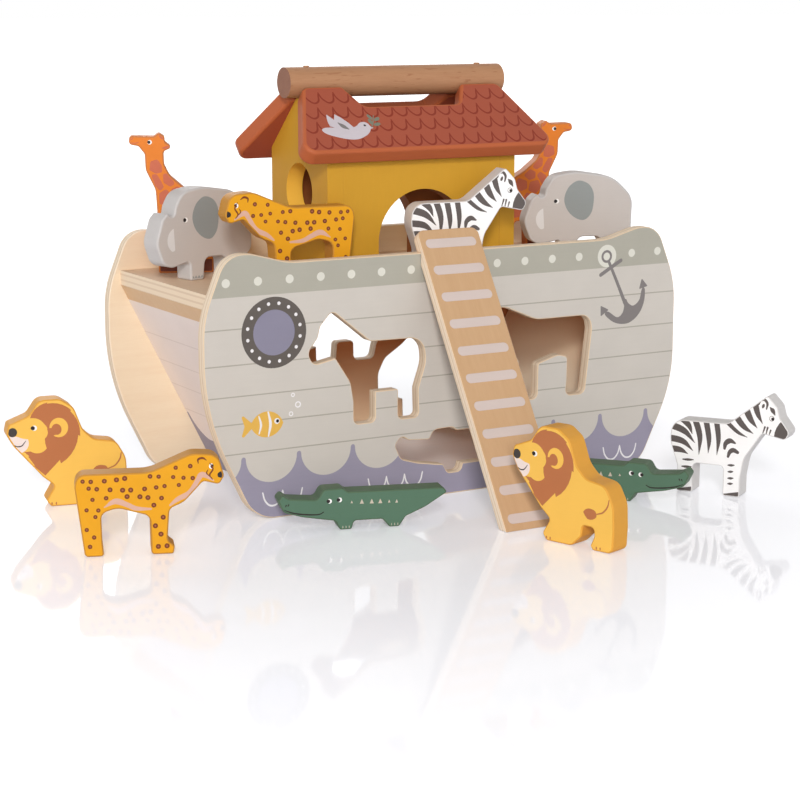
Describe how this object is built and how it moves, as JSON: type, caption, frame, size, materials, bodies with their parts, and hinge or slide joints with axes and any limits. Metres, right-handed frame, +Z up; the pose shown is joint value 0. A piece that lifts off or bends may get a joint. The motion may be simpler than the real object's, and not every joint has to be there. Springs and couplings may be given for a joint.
{
  "type": "wooden ark toy",
  "caption": "Plywood ark toy with animal-shaped posting holes, a lift-off house with a ridge handle, a hook-on boarding ramp and pairs of flat painted wooden animals.",
  "frame": {"origin": "middle of the hull's bottom face, on the table it stands on", "axes": "+X along the hull, to the right when the boarding side faces the viewer; -Y out of the boarding side; +Z up"},
  "size_m": [0.4611, 0.3386, 0.2794],
  "materials": {
    "hull_paint": "matt paint on plywood",
    "bare_plywood": "bare sanded plywood",
    "beech": "bare sanded beech",
    "house_paint": "matt paint on wood",
    "roof_paint": "matt paint on wood",
    "lion_paint": "matt paint on wood",
    "leopard_paint": "matt paint on wood",
    "crocodile_paint": "matt paint on wood",
    "zebra_paint": "matt paint on wood",
    "elephant_paint": "matt paint on wood",
    "giraffe_paint": "matt paint on wood"
  },
  "bodies": {
    "hull": {"side_panel_front": "hull_paint", "side_panel_rear": "hull_paint", "end_panel_left": "hull_paint", "end_panel_right": "hull_paint", "hull_floor": "bare_plywood", "deck_board": "bare_plywood", "hull_dowels": "beech"},
    "house": {"cabin_front_wall": "house_paint", "cabin_rear_wall": "house_paint", "cabin_gable_left": "house_paint", "cabin_gable_right": "house_paint", "cabin_wall_dowels": "beech", "cabin_seat_pegs": "beech", "roof_board_front": "roof_paint", "roof_board_rear": "roof_paint", "roof_dowels": "beech", "ridge_handle": "beech", "ridge_pins": "beech"},
    "ramp": {"boarding_ramp": "bare_plywood"},
    "lion_left_body": {"lion_left": "lion_paint"},
    "lion_right_body": {"lion_right": "lion_paint"},
    "leopard_left_body": {"leopard_left": "leopard_paint"},
    "leopard_deck_body": {"leopard_deck": "leopard_paint"},
    "crocodile_left_body": {"crocodile_left": "crocodile_paint"},
    "crocodile_right_body": {"crocodile_right": "crocodile_paint"},
    "zebra_right_body": {"zebra_right": "zebra_paint"},
    "zebra_deck_body": {"zebra_deck": "zebra_paint"},
    "elephant_left_body": {"elephant_left": "elephant_paint"},
    "elephant_right_body": {"elephant_right": "elephant_paint"},
    "giraffe_left_body": {"giraffe_left": "giraffe_paint"},
    "giraffe_right_body": {"giraffe_right": "giraffe_paint"}
  },
  "joints": [
    {"name": "house_lift", "type": "slide", "parent": "hull", "child": "house", "axis": [0, 0, 1], "range_m": [0, 0.08]},
    {"name": "ramp_lift", "type": "slide", "parent": "hull", "child": "ramp", "axis": [0, 0, 1], "range_m": [0, 0.03]},
    {"name": "lion_left_lift", "type": "slide", "parent": "hull", "child": "lion_left_body", "axis": [0, 0, 1], "range_m": [0, 0.06]},
    {"name": "lion_right_lift", "type": "slide", "parent": "hull", "child": "lion_right_body", "axis": [0, 0, 1], "range_m": [0, 0.06]},
    {"name": "leopard_left_lift", "type": "slide", "parent": "hull", "child": "leopard_left_body", "axis": [0, 0, 1], "range_m": [0, 0.06]},
    {"name": "leopard_deck_lift", "type": "slide", "parent": "hull", "child": "leopard_deck_body", "axis": [0, 0, 1], "range_m": [0, 0.02]},
    {"name": "crocodile_left_lift", "type": "slide", "parent": "hull", "child": "crocodile_left_body", "axis": [0, 0, 1], "range_m": [0, 0.06]},
    {"name": "crocodile_right_lift", "type": "slide", "parent": "hull", "child": "crocodile_right_body", "axis": [0, 0, 1], "range_m": [0, 0.06]},
    {"name": "zebra_right_lift", "type": "slide", "parent": "hull", "child": "zebra_right_body", "axis": [0, 0, 1], "range_m": [0, 0.06]},
    {"name": "zebra_deck_lift", "type": "slide", "parent": "hull", "child": "zebra_deck_body", "axis": [0, 0, 1], "range_m": [0, 0.012]},
    {"name": "elephant_left_lift", "type": "slide", "parent": "hull", "child": "elephant_left_body", "axis": [0, 0, 1], "range_m": [0, 0.06]},
    {"name": "elephant_right_lift", "type": "slide", "parent": "hull", "child": "elephant_right_body", "axis": [0, 0, 1], "range_m": [0, 0.06]},
    {"name": "giraffe_left_lift", "type": "slide", "parent": "hull", "child": "giraffe_left_body", "axis": [0, 0, 1], "range_m": [0, 0.06]},
    {"name": "giraffe_right_lift", "type": "slide", "parent": "hull", "child": "giraffe_right_body", "axis": [0, 0, 1], "range_m": [0, 0.06]}
  ]
}
